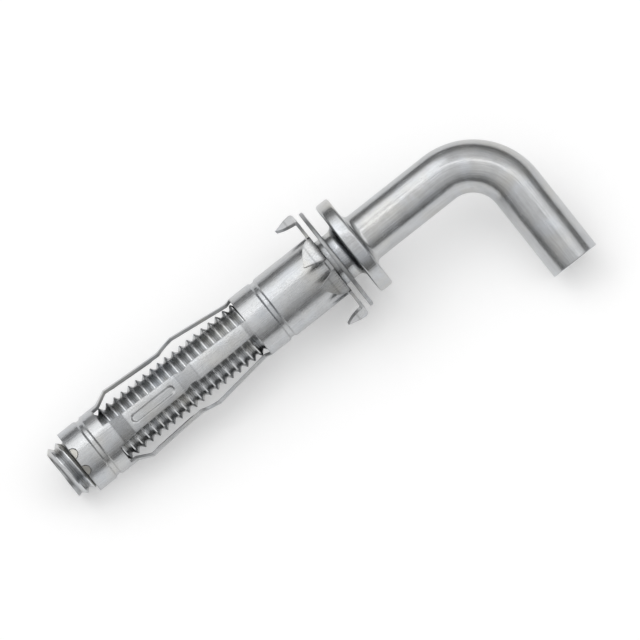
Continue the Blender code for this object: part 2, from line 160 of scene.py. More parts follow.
# %% A socket that can be added and multiplied
class Wire:
    """An output socket of a node tree that Python's signs work on."""

    def __init__(self, tree, socket):
        self.tree = tree
        self.socket = socket

    def node(self, kind, out=0, ramp=None, settings=None, **inputs):
        """A node of a type, with its settings and its inputs by name or, as in0, by number."""
        made = self.tree.nodes.new(kind)
        for key, value in (settings or {}).items():
            setattr(made, key, value)
        if ramp:
            stops = made.color_ramp.elements
            for place, value in ramp[2:]:
                stops.new(place)
            for stop, (place, value) in zip(stops, sorted(ramp)):
                stop.position = place
                stop.color = (value, value, value, 1.0)
        for key, value in inputs.items():
            numbered = key.startswith("in") and key[2:].isdigit()
            socket = made.inputs[int(key[2:]) if numbered else key]
            if isinstance(value, Wire):
                self.tree.links.new(value.socket, socket)
            else:
                socket.default_value = value
        return Wire(self.tree, made.outputs[out])

    def math(self, operation, *values):
        """A Math node on the values."""
        inputs = {f"in{k}": value for k, value in enumerate(values)}
        return self.node("ShaderNodeMath", settings={"operation": operation}, **inputs)

    def __add__(self, other):
        return self.math("ADD", self, other)

    def __sub__(self, other):
        return self.math("SUBTRACT", self, other)

    def __rsub__(self, other):
        return self.math("SUBTRACT", other, self)

    def __mul__(self, other):
        return self.math("MULTIPLY", self, other)

    def __truediv__(self, other):
        return self.math("DIVIDE", self, other)

    __radd__ = __add__
    __rmul__ = __mul__

    def clamped(self):
        """The value, kept within 0 and 1."""
        return self.math("MAXIMUM", self.math("MINIMUM", self, 1.0), 0.0)

    def between(self, low, high):
        """0 below low, 1 above high, and a straight slope between."""
        return ((self - low) / (high - low)).clamped()


print("a wire can be added, subtracted, multiplied and divided")

# %% [markdown]
# ## The thread of the screw
# The thread is rolled, not cut: rollers press the V-shaped roots into a round rod and the metal rises into
# the crests between them. One pitch of its profile is drawn from the middle of a flank to the middle of
# the next one, so that the turns meet on a flank. A spin that climbs one pitch makes one turn of the
# right-hand helix, and copies of it, a pitch apart, make the rest, which is much faster than one long spin.
# A plane cuts the thread off square.

# %% Spin a thread
PITCH = 1.5 * MM
THREAD_RADIUS = 4.85 * MM
THREAD_DEPTH = 0.8 * MM
CREST_WIDTH = 0.19 * MM
FLANK_SLOPE = THREAD_DEPTH / ((PITCH - CREST_WIDTH) / 2)
SLEEVE_LENGTH = 52.0 * MM
SCREW_TIP = -(SLEEVE_LENGTH + 3.3 * MM)
THREAD_FACETS = 72  # to a turn
CREST_BEND = 0.07 * MM
ROOT_BEND_RADIUS = 0.1 * MM


def add_thread(bm, crest, root, bottom, top):
    """The skin of a right-hand thread between two heights, open at both ends."""
    flank = (crest - root) / FLANK_SLOPE
    middle = (crest + root) / 2
    start = SCREW_TIP + PITCH * (math.floor((bottom - SCREW_TIP) / PITCH) - 2)
    turns = math.ceil((top - start) / PITCH) + 1
    corners = [
        (middle, start + flank / 2, 0),
        (crest, start + flank, CREST_BEND),
        (crest, start + PITCH - flank, CREST_BEND),
        (root, start + PITCH, ROOT_BEND_RADIUS),
        (middle, start + PITCH + flank / 2, 0),
    ]
    bmesh.ops.spin(
        bm,
        geom=add_wire(bm, rounded(corners)),
        cent=(0, 0, 0),
        axis=(0, 0, 1),
        dvec=(0, 0, PITCH / THREAD_FACETS),
        angle=math.tau,
        steps=THREAD_FACETS,
    )
    first_turn = bm.verts[:] + bm.edges[:] + bm.faces[:]
    for turn in range(1, turns):
        copied = bmesh.ops.duplicate(bm, geom=first_turn)["geom"]
        copied = [item for item in copied if isinstance(item, bmesh.types.BMVert)]
        bmesh.ops.translate(bm, verts=copied, vec=(0, 0, PITCH * turn))
    bmesh.ops.remove_doubles(bm, verts=bm.verts, dist=MERGE)
    for height, side in ((bottom, -1), (top, 1)):
        bmesh.ops.bisect_plane(
            bm,
            geom=bm.verts[:] + bm.edges[:] + bm.faces[:],
            dist=MERGE / 10,
            plane_co=(0, 0, height),
            plane_no=(0, 0, side),
            clear_outer=True,
        )


def shape_radii(bm, limit):
    """Moves each vertex in or out to the radius that limit(radius, height) gives."""
    for vert in bm.verts:
        radius = math.hypot(vert.co.x, vert.co.y)
        share = limit(radius, vert.co.z) / radius
        vert.co.x *= share
        vert.co.y *= share


flank_angle = math.degrees(math.atan((PITCH - CREST_WIDTH) / 2 / THREAD_DEPTH))
print("thread: pitch", PITCH / MM, "mm, flanks at", round(2 * flank_angle), "degrees")

# %% [markdown]
# ## The hook's thread and its tip
# The hook is one piece of rod. Its end is threaded, a collar is upset on it, and the rest is bent once
# into a square hook. It is modelled in the same order, so that each step starts from the last one's open
# rim. The thread comes first, and moving its points in gives the chamfer at the tip and the run-out at the
# shank. The tip is a little hollow, because the rollers push the skin of the rod ahead of its core. Rims
# that shrink and sink step by step make that hollow.

# %% Roll the thread and close its tip
ROD_RADIUS = THREAD_RADIUS - 0.52 * MM
BLANK_RADIUS = THREAD_RADIUS + 0.1 * MM
TIP_CHAMFER = 0.75 * MM
TIP_RIMS = ((0.8, 0.02 * MM), (0.75, 0.1 * MM), (0.6, 0.1 * MM), (0.4, 0.05 * MM))  # scale, sink
THREAD_TOP = -14.5 * MM
RIM_REACH = 0.02 * MM


def screw_radius(radius, height):
    """The thread's radius, with its chamfer at the tip and its run-out at the shank."""
    chamfer = BLANK_RADIUS - TIP_CHAMFER + (height - SCREW_TIP)
    run_out = BLANK_RADIUS - (height - (THREAD_TOP - TIP_CHAMFER))
    rise = min(max((height - THREAD_TOP + 2 * TIP_CHAMFER) / TIP_CHAMFER, 0), 1)
    floor = rise * ROD_RADIUS
    return max(min(radius, chamfer, run_out), floor)


def rim_at(bm, height):
    """The open edges at a height."""
    rim = [edge for edge in bm.edges if edge.is_boundary]
    return [edge for edge in rim if all(abs(vert.co.z - height) < RIM_REACH for vert in edge.verts)]


def draw_out(bm, rim):
    """Extrudes a rim of edges on the spot, and returns the new edges and their vertices."""
    drawn = bmesh.ops.extrude_edge_only(bm, edges=rim)["geom"]
    edges = [item for item in drawn if isinstance(item, bmesh.types.BMEdge)]
    return edges, [item for item in drawn if isinstance(item, bmesh.types.BMVert)]


hook_skin = bmesh.new()
add_thread(hook_skin, THREAD_RADIUS, THREAD_RADIUS - THREAD_DEPTH, SCREW_TIP, THREAD_TOP)
shape_radii(hook_skin, screw_radius)
tip_rim = rim_at(hook_skin, SCREW_TIP)
for share, sink in TIP_RIMS:
    tip_rim, tip_verts = draw_out(hook_skin, tip_rim)
    bmesh.ops.scale(hook_skin, verts=tip_verts, vec=(share, share, 1.0))
    bmesh.ops.translate(hook_skin, verts=tip_verts, vec=(0, 0, sink))
bmesh.ops.contextual_create(hook_skin, geom=tip_rim)
print("thread:", len(hook_skin.faces), "faces")

# %% [markdown]
# ## Shank and collar
# The collar bears on the washer. It is upset from the rod, so it flows into the rod with a round at each
# side. Half of the profile is enough, because a full spin turns it into a solid of revolution. The thread
# and the shank have different numbers of facets, and bridging their rims joins them all the same.

# %% Turn the shank with its collar
SHANK_START = THREAD_TOP + 0.4 * MM
COLLAR_LOW = 3.6 * MM
COLLAR_HIGH = COLLAR_LOW + 2.5 * MM
COLLAR_RADIUS = 8.73 * MM
COLLAR_EDGE = 0.5 * MM
COLLAR_ROOT = 1.0 * MM
BEND_START = COLLAR_HIGH + 16.25 * MM
ROUND_FACETS = 96


def spin_round(bm, points):
    """A full turn of a profile round the screw's axis."""
    bmesh.ops.spin(
        bm,
        geom=add_wire(bm, points),
        cent=(0, 0, 0),
        axis=(0, 0, 1),
        angle=math.tau,
        steps=ROUND_FACETS,
        use_merge=True,
    )
    bmesh.ops.remove_doubles(bm, verts=bm.verts, dist=MERGE)


shank_line = [
    (ROD_RADIUS, SHANK_START, 0),
    (ROD_RADIUS, COLLAR_LOW, COLLAR_ROOT),
    (COLLAR_RADIUS, COLLAR_LOW, COLLAR_EDGE),
    (COLLAR_RADIUS, COLLAR_HIGH, COLLAR_EDGE),
    (ROD_RADIUS, COLLAR_HIGH, COLLAR_ROOT),
    (ROD_RADIUS, BEND_START, 0),
]
spin_round(hook_skin, rounded(shank_line, steps=8))
run_out_rims = rim_at(hook_skin, THREAD_TOP) + rim_at(hook_skin, SHANK_START)
bmesh.ops.bridge_loops(hook_skin, edges=run_out_rims)
print("thread and shank:", len(hook_skin.faces), "faces")

# %% [markdown]
# ## The square bend and the leg
# The rod is bent cold round a former, which keeps its section round. Spinning the open rim about the
# former's axis does the same, and drawing the last rim out gives the leg. Its end is sawn off, so its edge
# gets only a small bevel.

# %% Bend the rod and draw out the leg
BEND_RADIUS = 9.05 * MM
BEND_STEPS = 32
SAWN_EDGE = 0.18 * MM

bend_rim = rim_at(hook_skin, BEND_START)
bend_verts = list({vert for edge in bend_rim for vert in edge.verts})
bent = bmesh.ops.spin(
    hook_skin,
    geom=bend_rim + bend_verts,
    cent=(-BEND_RADIUS, 0, BEND_START),
    axis=(0, 1, 0),
    angle=-math.pi / 2,
    steps=BEND_STEPS,
)["geom_last"]
leg_rim = [item for item in bent if isinstance(item, bmesh.types.BMEdge)]
_, leg_verts = draw_out(hook_skin, leg_rim)
bmesh.ops.translate(hook_skin, verts=leg_verts, vec=(BEND_RADIUS - LEG_REACH, 0, 0))
open_edges = [edge for edge in hook_skin.edges if edge.is_boundary]
sawn = bmesh.ops.contextual_create(hook_skin, geom=open_edges)["faces"]
bmesh.ops.bevel(
    hook_skin,
    geom=list(sawn[0].edges),
    offset=SAWN_EDGE,
    offset_type="OFFSET",
    segments=3,
    profile=0.5,
    affect="EDGES",
    material=-1,
)
tidy_skin(hook_skin)
print("hook:", len(hook_skin.faces), "faces, volume", round(hook_skin.calc_volume() / MM**3), "mm3")

# %% [markdown]
# ## A rod's own coordinates
# Drawing the rod leaves fine lines along it, and they follow the bend. Plain object coordinates would run
# straight on through it. So each vertex is given the place that it had before the rod was bent: how far it
# lies from the rod's middle line, and how far along that line. A layer of the mesh keeps it, and the finish
# reads it as an attribute.

# %% Store the place on the straight rod
def unbent(point):
    """A point of the bent rod, moved back to where it was on the straight one."""
    if point.z <= BEND_START:
        return point
    if point.x < -BEND_RADIUS:
        along = BEND_START + BEND_RADIUS * math.pi / 2 - BEND_RADIUS - point.x
        return Vector((point.z - BEND_START - BEND_RADIUS, point.y, along))
    swing = math.atan2(point.z - BEND_START, point.x + BEND_RADIUS)
    out = math.hypot(point.z - BEND_START, point.x + BEND_RADIUS)
    return Vector((out - BEND_RADIUS, point.y, BEND_START + BEND_RADIUS * swing))


straight = hook_skin.verts.layers.float_vector.new("straight_rod")
for vert in hook_skin.verts:
    vert[straight] = unbent(vert.co)
leg_end = unbent(Vector((-LEG_REACH, 0, BEND_START + BEND_RADIUS)))
print("the straight rod was", round((leg_end.z - SCREW_TIP) / MM, 1), "mm long")

# %% [markdown]
# ## The sleeve's sheet and its grooves
# The sleeve is one sheet, pressed flat and then rolled round the nut. Near each end a groove is rolled into
# it, which stiffens it. Only its outer skin is drawn at first, and the thickness is added at the end. The
# corners of a groove are the same at both ends, so one function lists them.

# %% List the corners of a groove
SHEET = 0.55 * MM
SLEEVE_BORE = THREAD_RADIUS + 0.35 * MM
SLEEVE_RADIUS = SLEEVE_BORE + SHEET
GROOVE_DEPTH = 0.28 * MM
GROOVE_SLOPE = 0.3 * MM
GROOVE_EDGE = 0.1 * MM
GROOVE_WIDTH = 1.2 * MM


def groove(near):
    """The corners of one rolled groove, from its far side to its near side."""
    floor = SLEEVE_RADIUS - GROOVE_DEPTH
    far = near + GROOVE_WIDTH
    return [
        (SLEEVE_RADIUS, -far, GROOVE_EDGE),
        (floor, GROOVE_SLOPE - far, GROOVE_EDGE),
        (floor, -near - GROOVE_SLOPE, GROOVE_EDGE),
        (SLEEVE_RADIUS, -near, GROOVE_EDGE),
    ]


print("a groove is", GROOVE_WIDTH / MM, "mm wide and", GROOVE_DEPTH / MM, "mm deep")

# %% [markdown]
# ## The flange and the folds of its claws
# The flange is a disc at the sleeve's near end, and its claws are folded down from its rim. The skin runs on
# from the outside of the tube to the flange's board side, and from there to the inner face of each claw. The
# outer face of a claw ends on the circle of the rim, which tells where the inner one and its fold lie.

# %% Find the folds of the claws
FLANGE_RADIUS = 10.4 * MM
CLAW_WIDTH = 4.5 * MM
CLAW_BEND = 0.2 * MM

claw_plane = math.sqrt(FLANGE_RADIUS**2 - (CLAW_WIDTH / 2) ** 2) - SHEET
fold = claw_plane - CLAW_BEND
fold_end = math.hypot(fold, CLAW_WIDTH / 2)
print("a claw's inner face is", round(claw_plane / MM, 2), "mm from the axis")

# %% [markdown]
# ## The sleeve's outer line
# Seen from the side, all four legs have the same outer line: the end cylinder with a groove, the leg with
# its two knees, and the cylinder with the second groove, up to the flange. It is drawn once, as corners with
# the radius that the sheet was bent to, then cut into short steps, so that beads and nicks can be pressed
# into it later. The legs bulge at their knees, because they have to fold outwards there when the screw pulls
# the nut.

# %% Draw the outer line of the sheet
END_GROOVE = SLEEVE_LENGTH - 4.55 * MM
FLANGE_GROOVE = 11.45 * MM
WINDOW_NEAR = 16.6 * MM
WINDOW_FAR = SLEEVE_LENGTH - 6.8 * MM
ROOT_BEND = 17.5 * MM
FOLD_KNEE = 28.0 * MM
WAIST = 31.2 * MM
FAR_KNEE = 41.7 * MM
TOE_BEND = 44.1 * MM
KNEE_RISE = 1.1 * MM
WAIST_RISE = 0.45 * MM
ROOT_DIP = 0.24 * MM
FAR_BEND_RADIUS = 0.2 * MM
NEAR_BEND_RADIUS = 0.25 * MM
FLANGE_BEND = 0.4 * MM
ROW_STEP = 0.22 * MM


def stepped(points, step):
    """The points with more put between them, so that none is farther than a step from the next."""
    more = [Vector(points[0])]
    for point in (Vector(point) for point in points[1:]):
        last, gap = more[-1], (point - more[-1]).length
        if gap > MERGE:
            count = math.ceil(gap / step)
            more += [last.lerp(point, k / count) for k in range(1, count + 1)]
    return [(point.x, point.y) for point in more]


sheet_line = [(SLEEVE_RADIUS, -SLEEVE_LENGTH, 0)]
sheet_line += groove(END_GROOVE)
sheet_line += [
    (SLEEVE_RADIUS, -WINDOW_FAR, 0),
    (SLEEVE_RADIUS, -TOE_BEND, FAR_BEND_RADIUS),
    (SLEEVE_RADIUS + KNEE_RISE, -FAR_KNEE, FAR_BEND_RADIUS),
    (SLEEVE_RADIUS + WAIST_RISE, -WAIST, NEAR_BEND_RADIUS),
    (SLEEVE_RADIUS + KNEE_RISE, -FOLD_KNEE, NEAR_BEND_RADIUS),
    (SLEEVE_RADIUS - ROOT_DIP, -ROOT_BEND, NEAR_BEND_RADIUS),
    (SLEEVE_RADIUS, -WINDOW_NEAR, 0),
]
sheet_line += groove(FLANGE_GROOVE)
sheet_line += [
    (SLEEVE_RADIUS, -SHEET, FLANGE_BEND),
    (fold_end, -SHEET, 0),
    (FLANGE_RADIUS, -SHEET, 0),
]
rows = stepped(rounded(sheet_line, steps=5), ROW_STEP)
print("rows along the sleeve:", len(rows))

# %% [markdown]
# ## The shape of a leg
# A full spin of that line gives a plain turned shell. Its columns are then moved to where the press tools
# put them. Across a leg they follow its sides and the walls of its bead. The bead stiffens the far half of
# the leg, so that the leg folds at its knee and not elsewhere, and the nicks beside the waist help it to.

# %% Say how wide a leg is and how deep its bead
LEGS = 4
QUARTER = math.tau / LEGS
NICK_PLACE = (FOLD_KNEE + WAIST) / 2
NICK_LENGTH = 2.6 * MM
NICK_DEPTH = 0.38 * MM
BEAD_NEAR = WAIST + 1.1 * MM
BEAD_FAR = FAR_KNEE - 0.7 * MM
BEAD_WIDTH = 1.64 * MM
BEAD_DEPTH = 0.28 * MM
BEAD_SLOPE = 0.27 * MM
LEG_WIDTHS = (
    (WINDOW_NEAR, 2.5 * MM),
    (ROOT_BEND, 2.8 * MM),
    (FAR_KNEE, 3.95 * MM),
    (WINDOW_FAR, 4.6 * MM),
)
MARGIN_COLUMNS = 4
WALL_COLUMNS = 3
FLOOR_COLUMNS = 6
LEG_COLUMNS = 2 * (MARGIN_COLUMNS + WALL_COLUMNS) + FLOOR_COLUMNS


def leg_half_width(distance):
    """Half of a leg's width at a distance from the flange's room face."""
    distance = min(max(distance, WINDOW_NEAR), WINDOW_FAR)
    for (start, low), (end, high) in zip(LEG_WIDTHS, LEG_WIDTHS[1:]):
        if start <= distance <= end:
            width = low + (high - low) * (distance - start) / (end - start)
    nick = 1 - (2 * (distance - NICK_PLACE) / NICK_LENGTH) ** 2
    return width / 2 - NICK_DEPTH * max(nick, 0)


def bead_depth(distance, offset):
    """How far the bead is pressed in at a point of a leg. Its ends are round."""
    half = BEAD_WIDTH / 2
    beyond = max(BEAD_NEAR + half - distance, distance - BEAD_FAR + half, 0)
    share = min(max((half - math.hypot(beyond, offset)) / BEAD_SLOPE, 0), 1)
    return BEAD_DEPTH * share * share * (3 - 2 * share)


def leg_offset(distance, column):
    """How far a leg's column lies from the leg's middle."""
    half, bead = leg_half_width(distance), BEAD_WIDTH / 2
    marks = [-half, -bead, BEAD_SLOPE - bead, bead - BEAD_SLOPE, bead, half]
    counts = [MARGIN_COLUMNS, WALL_COLUMNS, FLOOR_COLUMNS, WALL_COLUMNS, MARGIN_COLUMNS]
    for low, high, count in zip(marks, marks[1:], counts):
        if column <= count:
            return low + (high - low) * column / count
        column -= count


print("a leg is", round(2 * leg_half_width(NICK_PLACE) / MM, 2), "mm wide between its nicks")

# %% [markdown]
# ## Where each column of the sheet goes
# One function gives the place of a column on the tube, and another on the flange, where the columns run out
# to the folds of the claws. A fold is straight, because sheet can't be folded along an arc. Between the
# legs the columns only fill the room that is left.

# %% Say where a column goes
CLAW_COLUMNS = 8
WINDOW_COLUMNS = 8
COLUMNS = LEG_COLUMNS + WINDOW_COLUMNS
CLAW_ANGLE = math.radians(19.0)  # from the middle of its pair


def polar(radius, angle, height=0.0):
    """The point at a radius and an angle round the screw's axis."""
    return Vector((radius * math.cos(angle), radius * math.sin(angle), height))


def window_angle(edge, column):
    """The angle of a column between two legs, where edge is the angle of a leg's side."""
    return edge + (QUARTER - 2 * edge) * (column - LEG_COLUMNS) / WINDOW_COLUMNS


def tube_place(radius, distance, column):
    """Where a column is at a distance from the flange's room face, on the tube or a leg."""
    if column > LEG_COLUMNS:
        edge = math.asin(leg_half_width(distance) / radius)
        return polar(radius, window_angle(edge, column), -distance)
    offset = leg_offset(distance, column)
    return polar(radius - bead_depth(distance, offset), math.asin(offset / radius), -distance)


def fold_place(column):
    """The flange's last full ring: straight along the fold of each claw, and round elsewhere."""
    spread = math.atan(CLAW_WIDTH / 2 / fold)
    between = LEG_COLUMNS - 2 * CLAW_COLUMNS
    side = -1 if column <= LEG_COLUMNS / 2 else 1
    first = CLAW_COLUMNS + between if side > 0 else 0
    if column > LEG_COLUMNS:
        return polar(fold_end, window_angle(CLAW_ANGLE + spread, column), -SHEET)
    if CLAW_COLUMNS < column < CLAW_COLUMNS + between:
        share = (column - CLAW_COLUMNS) / between - 0.5
        return polar(fold_end, 2 * (CLAW_ANGLE - spread) * share, -SHEET)
    place = CLAW_WIDTH * ((column - first) / CLAW_COLUMNS - 0.5)
    return polar(math.hypot(fold, place), side * CLAW_ANGLE + math.atan(place / fold), -SHEET)


def flange_place(radius, column):
    """Where a column is on the flange, at the radius that it had on the turned shell."""
    start = SLEEVE_RADIUS + FLANGE_BEND
    share = (radius - start) / (fold_end - start)
    place = tube_place(start, SHEET, column).lerp(fold_place(column), min(share, 1))
    if share > 1 + MERGE:
        place = polar(radius, math.atan2(place.y, place.x), -SHEET)
    return place


print("columns round the sleeve:", LEGS * COLUMNS)

# %% [markdown]
# ## Where the sheet gets painted shade
# Narrow lines of painted shade lie where the sheet bends most: on the walls of the beads, in the rolled
# grooves and along the knees. These narrow dark lines make the shapes readable, more than their small relief
# does. They could be masks in the finish, but the sheet's own columns and rows already know where its walls
# are.

# %% Say how strong the painted shade is
KNEES = (ROOT_BEND, FOLD_KNEE, WAIST, FAR_KNEE, TOE_BEND)
# A knee's mark is a line of painted shade, and this is how far it reaches to each side.
KNEE_REACH = 0.06 * MM  # of a knee's mark, to each side
KNEE_SHADE = 0.6
GROOVE_SHADE = 0.8


def painted_shade_strength(distance, column):
    """How strong the painted shade is on the skin: on the bead's walls, in the grooves and along the knees.
    """
    for near in (END_GROOVE, FLANGE_GROOVE):
        if near < distance < near + GROOVE_WIDTH:
            down_wall = min(distance - near, near + GROOVE_WIDTH - distance) / GROOVE_SLOPE
            return GROOVE_SHADE if 0.2 < down_wall < 0.8 else 0.0
    if column > LEG_COLUMNS:
        return 0.0
    if any(abs(distance - knee) < KNEE_REACH for knee in KNEES):
        return KNEE_SHADE
    depth = bead_depth(distance, leg_offset(distance, column)) / BEAD_DEPTH
    return 4 * depth * (1 - depth)


bead_middle = (BEAD_NEAR + BEAD_FAR) / 2
wall_shades = [painted_shade_strength(bead_middle, MARGIN_COLUMNS + k) for k in range(WALL_COLUMNS + 1)]
print("marks across the bead's wall:", [round(strength, 2) for strength in wall_shades])

# %% [markdown]
# ## Press the sheet
# Now the operators: the line is spun into a shell, the faces of the windows and those beyond the folds of
# the claws are deleted, and every corner moves to its place. Deleting comes first, while a face's angle
# still tells its column. A layer keeps the strength of the painted shade for the finish.

# %% Spin, punch and press the sheet
sheet = bmesh.new()
bmesh.ops.spin(
    sheet,
    geom=add_wire(sheet, rows),
    cent=(0, 0, 0),
    axis=(0, 0, 1),
    angle=math.tau,
    steps=LEGS * COLUMNS,
    use_merge=True,
)
bmesh.ops.remove_doubles(sheet, verts=sheet.verts, dist=MERGE)


def column_of(point):
    """The place of a point among the columns of the turned shell."""
    return math.atan2(point.y, point.x) % math.tau / (math.tau / (LEGS * COLUMNS))


punched = []
for face in sheet.faces:
    middle = face.calc_center_median()
    on_leg = column_of(middle) % COLUMNS < LEG_COLUMNS
    window = WINDOW_NEAR < -middle.z < WINDOW_FAR and not on_leg
    beyond_fold = math.hypot(middle.x, middle.y) > fold_end and on_leg
    if window or beyond_fold:
        punched.append(face)
bmesh.ops.delete(sheet, geom=punched, context="FACES")


# A layer for the strength of the painted shade along the bends of the sheet.
press_shade = sheet.verts.layers.float.new("press_shade")
for vert in sheet.verts:
    leg, column = divmod(round(column_of(vert.co)) % (LEGS * COLUMNS), COLUMNS)
    vert[press_shade] = painted_shade_strength(-vert.co.z, column)
    radius = math.hypot(vert.co.x, vert.co.y)
    flat = radius > SLEEVE_RADIUS + FLANGE_BEND - MERGE and vert.co.z > -2 * SHEET
    place = flange_place(radius, column) if flat else tube_place(radius, -vert.co.z, column)
    place.rotate(Matrix.Rotation(QUARTER * leg, 3, "Z"))
    vert.co = place
print("sheet:", len(sheet.faces), "faces,", len(punched), "punched out")

# %% [markdown]
# ## Fold the claws
# The eight claws, in four pairs, are cut from the flange's rim and folded down. They bite into the board, so
# that the sleeve can't turn while the screw is driven. Each one grows out of its fold: the row of edges is
# extruded step by step, along the bend and then down the blade. One side of the blade is straight and the
# other curves in to it, which leaves a sharp tip.

# %% Extrude each claw from its fold
CLAW_REACH = 3.2 * MM
CLAW_CREASE = 1.2 * MM
CREASE_RADIUS = 0.08 * MM
# The crease's mark is a thin line of painted shade.
CREASE_REACH = 0.03 * MM  # of the crease's mark
CLAW_LEAN = 0.3 * MM
CLAW_TIP_PLACE = 1.1 * MM  # along the fold, from the straight side
CLAW_TIP_WIDTH = 0.12 * MM

claw_line = [
    (fold, 0, 0),
    (claw_plane, 0, CLAW_BEND),
    (claw_plane, -CLAW_CREASE, CREASE_RADIUS),
    (claw_plane - CLAW_LEAN, -CLAW_REACH, 0),
]
claw_rows = stepped(rounded(claw_line, steps=5), ROW_STEP)


def claw_sides(depth):
    """The straight and the curved side of a blade, as places along the fold."""
    half, share = CLAW_WIDTH / 2, depth / CLAW_REACH
    tip = CLAW_TIP_PLACE - half
    straight = share * tip - (1 - share) * half
    curved = tip + (half - tip) * (1 - share**2)
    return straight, max(curved, straight + CLAW_TIP_WIDTH)


def fold_claw(bm, middle, side):
    """Extrudes one claw, to one side of the middle of its pair, and returns how many faces it is wide."""
    outward = polar(1, middle + side * CLAW_ANGLE)
    sideways = polar(side, middle + side * CLAW_ANGLE + math.pi / 2)

    def in_fold(vert):
        off_line = abs(vert.co.dot(outward) - fold)
        return off_line < 2 * MERGE and abs(vert.co.dot(sideways)) < CLAW_WIDTH / 2 + 2 * MERGE

    row = [edge for edge in bm.edges if edge.is_boundary and all(in_fold(vert) for vert in edge.verts)]
    for (_, above), (distance, height) in zip(claw_rows, claw_rows[1:]):
        row, row_verts = draw_out(bm, row)
        before, after = claw_sides(-above), claw_sides(-height)
        for vert in row_verts:
            share = (vert.co.dot(sideways) - before[0]) / (before[1] - before[0])
            across = after[0] + share * (after[1] - after[0])
            vert.co = outward * distance + sideways * across + Vector((0, 0, height - SHEET))
            # a thin line of painted shade along the crease
            vert[press_shade] = float(abs(height + CLAW_CREASE) < CREASE_REACH)
    return len(row)


widths = [fold_claw(sheet, leg * QUARTER, side) for leg in range(LEGS) for side in (-1, 1)]
print("claws:", len(widths), "each", set(widths), "faces wide")

# %% [markdown]
# ## Notches for the nut's lugs
# Two pairs of half-round notches in the sleeve's end hold the lugs of the nut, so that it can't turn. A
# boolean would need a closed sleeve, and this is still an open skin. So each notch is cut with flat planes
# that stand round its middle. A plane would cut right across the sleeve, so it only gets the faces near the
# notch. What lies inside of all the planes is deleted.

# %% Cut the notches
LUG_RADIUS = 0.9 * MM
LUG_CLEARANCE = 0.08 * MM
LUG_ANGLE = math.radians(17.5)  # to both sides of the front and of the back
NOTCH_SIDES = 12
lug_angles = [side * math.pi / 2 + shift for side in (1, -1) for shift in (-LUG_ANGLE, LUG_ANGLE)]


def cut_notch(bm, angle):
    """Cuts one notch and returns how many faces fell out."""
    centre = polar(SLEEVE_RADIUS, angle, -SLEEVE_LENGTH)
    sideways = polar(1, angle + math.pi / 2)
    reach = LUG_RADIUS + LUG_CLEARANCE
    turns = [math.pi * (k + 0.5) / NOTCH_SIDES for k in range(NOTCH_SIDES)]
    ways = [sideways * math.cos(turn) + Vector((0, 0, math.sin(turn))) for turn in turns]

    def faces_near():
        return [face for face in bm.faces if (face.calc_center_median() - centre).length < 2 * reach]

    for way in ways:
        near = faces_near()
        edges = list({edge for face in near for edge in face.edges})
        verts = list({vert for face in near for vert in face.verts})
        side = centre + way * reach
        bmesh.ops.bisect_plane(bm, geom=verts + edges + near, dist=MERGE, plane_co=side, plane_no=way)
    offsets = {face: face.calc_center_median() - centre for face in faces_near()}
    inside = [face for face, offset in offsets.items() if all(offset.dot(way) < reach for way in ways)]
    bmesh.ops.delete(bm, geom=inside, context="FACES")
    return len(inside)


print("faces cut out:", [cut_notch(sheet, angle) for angle in lug_angles])

# %% [markdown]
# ## The thickness of the sheet
# So far the sleeve is only the outer skin. Solidify adds the inner one and closes the cut edges. It goes
# by the normals, and an open skin has no inside to tell them by, so the face at the very end shows whether
# they point outwards. Solidify moves each point square to the skin, which crosses the rows of a bend that
# is tighter than the sheet is thick. Rolls and punches thin the sheet there instead, so along the tube each
# inner point goes straight towards the axis. A layer remembers the rims, because a sheared edge is duller
# and is painted darker as painted shade.

# %% Thicken the sheet
tidy_skin(sheet)
end_face = min(sheet.faces, key=lambda face: face.calc_center_median().z)
if end_face.normal.dot(end_face.calc_center_median() * Vector((1, 1, 0))) < 0:
    bmesh.ops.reverse_faces(sheet, faces=sheet.faces)
# A layer for the rims: their sheared edges are rougher and get painted shade.
sheared_and_shaded = sheet.verts.layers.float.new("sheared_and_shaded")
skin_place = sheet.verts.layers.float_vector.new("skin_place")
for vert in sheet.verts:
    vert[sheared_and_shaded] = float(vert.is_boundary)
    vert[skin_place] = vert.co
bmesh.ops.solidify(sheet, geom=sheet.faces[:], thickness=SHEET)
tube_reach = (SLEEVE_RADIUS + claw_plane) / 2
for vert in sheet.verts:
    place = vert[skin_place]
    radius = place.xy.length
    on_tube = radius < tube_reach and place.z < -SHEET - FLANGE_BEND
    if on_tube and (vert.co - place).length > MERGE:
        vert.co = place * (1 - SHEET / radius)
        vert.co.z = place.z
sheet.verts.layers.float_vector.remove(skin_place)
print("sheet:", len(sheet.faces), "faces, volume", round(sheet.calc_volume() / MM**3), "mm3")

# %% [markdown]
# ## The nut
# The nut sits in the sleeve's far end, so little of it shows: its end ring round the screw, and four lugs in
# the notches. It still gets its real thread, cut a little wider than the screw's. A nut is drilled before it
# is tapped, so its thread has flat crests where the drill left them, and clamping the radii makes those. The
# end of a thread isn't round, so each end ring is filled between its two rims, not bridged.

# %% Tap the nut
NUT_WALL = 0.3 * MM
NUT_BOTTOM = -SLEEVE_LENGTH
NUT_TOP = -SLEEVE_LENGTH + 3.1 * MM
NUT_OUTER = THREAD_RADIUS + NUT_WALL
NUT_BORE = THREAD_RADIUS - THREAD_DEPTH + 0.25 * MM
NUT_EDGE = 0.06 * MM
THREAD_PLAY = 0.1 * MM
CREST_PLAY = 0.08 * MM

